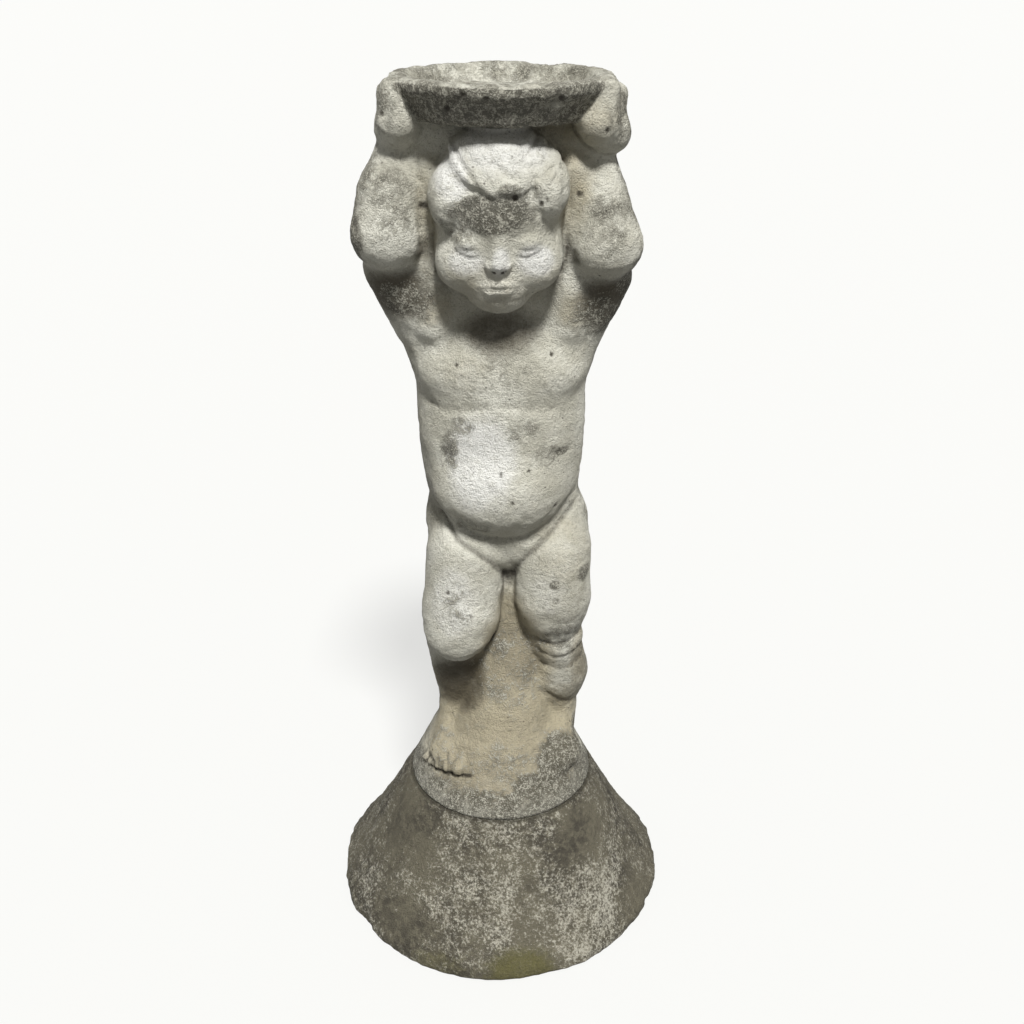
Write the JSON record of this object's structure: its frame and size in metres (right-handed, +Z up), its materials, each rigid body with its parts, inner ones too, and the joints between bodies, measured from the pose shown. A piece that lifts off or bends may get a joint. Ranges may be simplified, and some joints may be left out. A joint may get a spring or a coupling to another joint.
{
  "type": "cherub garden statue",
  "caption": "Weathered concrete garden statue of a small child that holds a shallow round dish over its head, on a bell-shaped foot.",
  "frame": {"origin": "on the floor under the middle of the foot", "axes": "+Z up, the child faces -Y, +X to the viewer's right"},
  "size_m": [0.359, 0.359, 0.8648],
  "materials": {
    "pale_cast_concrete": "weathered",
    "grey_cast_concrete": "weathered"
  },
  "bodies": {
    "root": {"cherub_figure": "pale_cast_concrete", "bell_foot": "grey_cast_concrete"}
  },
  "joints": []
}
